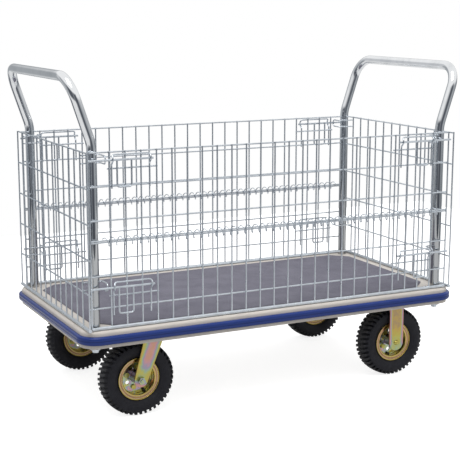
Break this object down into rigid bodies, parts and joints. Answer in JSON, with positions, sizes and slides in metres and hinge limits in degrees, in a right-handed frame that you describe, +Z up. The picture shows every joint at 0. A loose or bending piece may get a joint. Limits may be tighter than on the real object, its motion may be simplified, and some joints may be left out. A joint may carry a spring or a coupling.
{
  "type": "caged platform trolley",
  "caption": "Platform trolley with chrome push handles at both ends, a wire cage with fold-down side panels and sliding bolts, a bumper edge, and swivel and fixed pneumatic casters.",
  "frame": {"origin": "centre of the floor footprint, on the floor", "axes": "+X along the deck from the swivel casters to the fixed ones, +Y across it, +Z up"},
  "size_m": [1.2916, 0.6564, 0.983],
  "materials": {
    "deck_paint": "cream enamel, satin",
    "mat_vinyl": "fine ribbed grey vinyl",
    "bumper_vinyl": "blue extruded vinyl, satin",
    "chrome_tube": "polished chrome",
    "wire_zinc": "bright zinc on drawn wire",
    "bright_zinc": "bright zinc",
    "yellow_zinc": "iridescent yellow passivated zinc",
    "bearing_steel": "ground steel",
    "tyre_rubber": "moulded rubber",
    "tube_rubber": "smooth butyl rubber"
  },
  "bodies": {
    "root": {"deck_pan": "deck_paint", "deck_underframe": "deck_paint", "deck_mat": "mat_vinyl", "edge_bumper": "bumper_vinyl", "handle_left": "chrome_tube", "handle_right": "chrome_tube", "handle_foot_bolts": "bright_zinc", "end_panel_left": "wire_zinc", "end_panel_right": "wire_zinc", "side_panel_front_lower": "wire_zinc", "side_panel_back_lower": "wire_zinc", "coil_hinge_front": "wire_zinc", "coil_hinge_back": "wire_zinc", "bolt_guides_lower": "wire_zinc", "fixed_fork_front": "yellow_zinc", "fixed_fork_back": "yellow_zinc", "fixed_axles": "yellow_zinc", "swivel_top_plates": "yellow_zinc", "swivel_bearings": "bearing_steel", "caster_bolts": "bright_zinc"},
    "front_upper": {"side_panel_front_upper": "wire_zinc", "bolt_guides_front_upper": "wire_zinc"},
    "back_upper": {"side_panel_back_upper": "wire_zinc", "bolt_guides_back_upper": "wire_zinc"},
    "front_left_lower_bolt": {"slide_bolt_front_left_lower": "wire_zinc"},
    "front_right_lower_bolt": {"slide_bolt_front_right_lower": "wire_zinc"},
    "back_left_lower_bolt": {"slide_bolt_back_left_lower": "wire_zinc"},
    "back_right_lower_bolt": {"slide_bolt_back_right_lower": "wire_zinc"},
    "front_left_upper_bolt": {"slide_bolt_front_left_upper": "wire_zinc"},
    "front_right_upper_bolt": {"slide_bolt_front_right_upper": "wire_zinc"},
    "back_left_upper_bolt": {"slide_bolt_back_left_upper": "wire_zinc"},
    "back_right_upper_bolt": {"slide_bolt_back_right_upper": "wire_zinc"},
    "left_front_fork": {"swivel_fork_front": "yellow_zinc", "swivel_axle_front": "bright_zinc"},
    "left_front_wheel": {"left_front_tyre": "tyre_rubber", "left_front_inner_tube": "tube_rubber", "left_front_rim_outer": "yellow_zinc", "left_front_rim_inner": "yellow_zinc", "left_front_hub_bearings": "bearing_steel", "left_front_rim_bolts": "yellow_zinc"},
    "right_front_wheel": {"right_front_tyre": "tyre_rubber", "right_front_inner_tube": "tube_rubber", "right_front_rim_outer": "yellow_zinc", "right_front_rim_inner": "yellow_zinc", "right_front_hub_bearings": "bearing_steel", "right_front_rim_bolts": "yellow_zinc"},
    "left_back_fork": {"swivel_fork_back": "yellow_zinc", "swivel_axle_back": "bright_zinc"},
    "left_back_wheel": {"left_back_tyre": "tyre_rubber", "left_back_inner_tube": "tube_rubber", "left_back_rim_outer": "yellow_zinc", "left_back_rim_inner": "yellow_zinc", "left_back_hub_bearings": "bearing_steel", "left_back_rim_bolts": "yellow_zinc"},
    "right_back_wheel": {"right_back_tyre": "tyre_rubber", "right_back_inner_tube": "tube_rubber", "right_back_rim_outer": "yellow_zinc", "right_back_rim_inner": "yellow_zinc", "right_back_hub_bearings": "bearing_steel", "right_back_rim_bolts": "yellow_zinc"}
  },
  "joints": [
    {"name": "front_upper_fold", "type": "hinge", "parent": "root", "child": "front_upper", "pos_m": [0, -0.3071, 0.5232], "axis": [1, 0, 0], "range_deg": [0, 165]},
    {"name": "back_upper_fold", "type": "hinge", "parent": "root", "child": "back_upper", "pos_m": [0, 0.3071, 0.5232], "axis": [-1, 0, 0], "range_deg": [0, 165]},
    {"name": "front_left_lower_bolt_slide", "type": "slide", "parent": "root", "child": "front_left_lower_bolt", "axis": [1, 0, 0], "range_m": [-0.008, 0.049]},
    {"name": "front_right_lower_bolt_slide", "type": "slide", "parent": "root", "child": "front_right_lower_bolt", "axis": [-1, 0, 0], "range_m": [-0.008, 0.049]},
    {"name": "back_left_lower_bolt_slide", "type": "slide", "parent": "root", "child": "back_left_lower_bolt", "axis": [1, 0, 0], "range_m": [-0.008, 0.049]},
    {"name": "back_right_lower_bolt_slide", "type": "slide", "parent": "root", "child": "back_right_lower_bolt", "axis": [-1, 0, 0], "range_m": [-0.008, 0.049]},
    {"name": "front_left_upper_bolt_slide", "type": "slide", "parent": "front_upper", "child": "front_left_upper_bolt", "axis": [1, 0, 0], "range_m": [-0.008, 0.049]},
    {"name": "front_right_upper_bolt_slide", "type": "slide", "parent": "front_upper", "child": "front_right_upper_bolt", "axis": [-1, 0, 0], "range_m": [-0.008, 0.049]},
    {"name": "back_left_upper_bolt_slide", "type": "slide", "parent": "back_upper", "child": "back_left_upper_bolt", "axis": [1, 0, 0], "range_m": [-0.008, 0.049]},
    {"name": "back_right_upper_bolt_slide", "type": "slide", "parent": "back_upper", "child": "back_right_upper_bolt", "axis": [-1, 0, 0], "range_m": [-0.008, 0.049]},
    {"name": "left_front_swivel", "type": "hinge", "parent": "root", "child": "left_front_fork", "pos_m": [-0.396, -0.24, 0.237], "axis": [0, 0, 1], "continuous": true},
    {"name": "left_front_roll", "type": "hinge", "parent": "left_front_fork", "child": "left_front_wheel", "pos_m": [-0.438, -0.24, 0.109], "axis": [0, 1, 0], "continuous": true},
    {"name": "right_front_roll", "type": "hinge", "parent": "root", "child": "right_front_wheel", "pos_m": [0.428, -0.24, 0.109], "axis": [0, 1, 0], "continuous": true},
    {"name": "left_back_swivel", "type": "hinge", "parent": "root", "child": "left_back_fork", "pos_m": [-0.396, 0.24, 0.237], "axis": [0, 0, 1], "continuous": true},
    {"name": "left_back_roll", "type": "hinge", "parent": "left_back_fork", "child": "left_back_wheel", "pos_m": [-0.438, 0.24, 0.109], "axis": [0, 1, 0], "continuous": true},
    {"name": "right_back_roll", "type": "hinge", "parent": "root", "child": "right_back_wheel", "pos_m": [0.428, 0.24, 0.109], "axis": [0, 1, 0], "continuous": true}
  ]
}
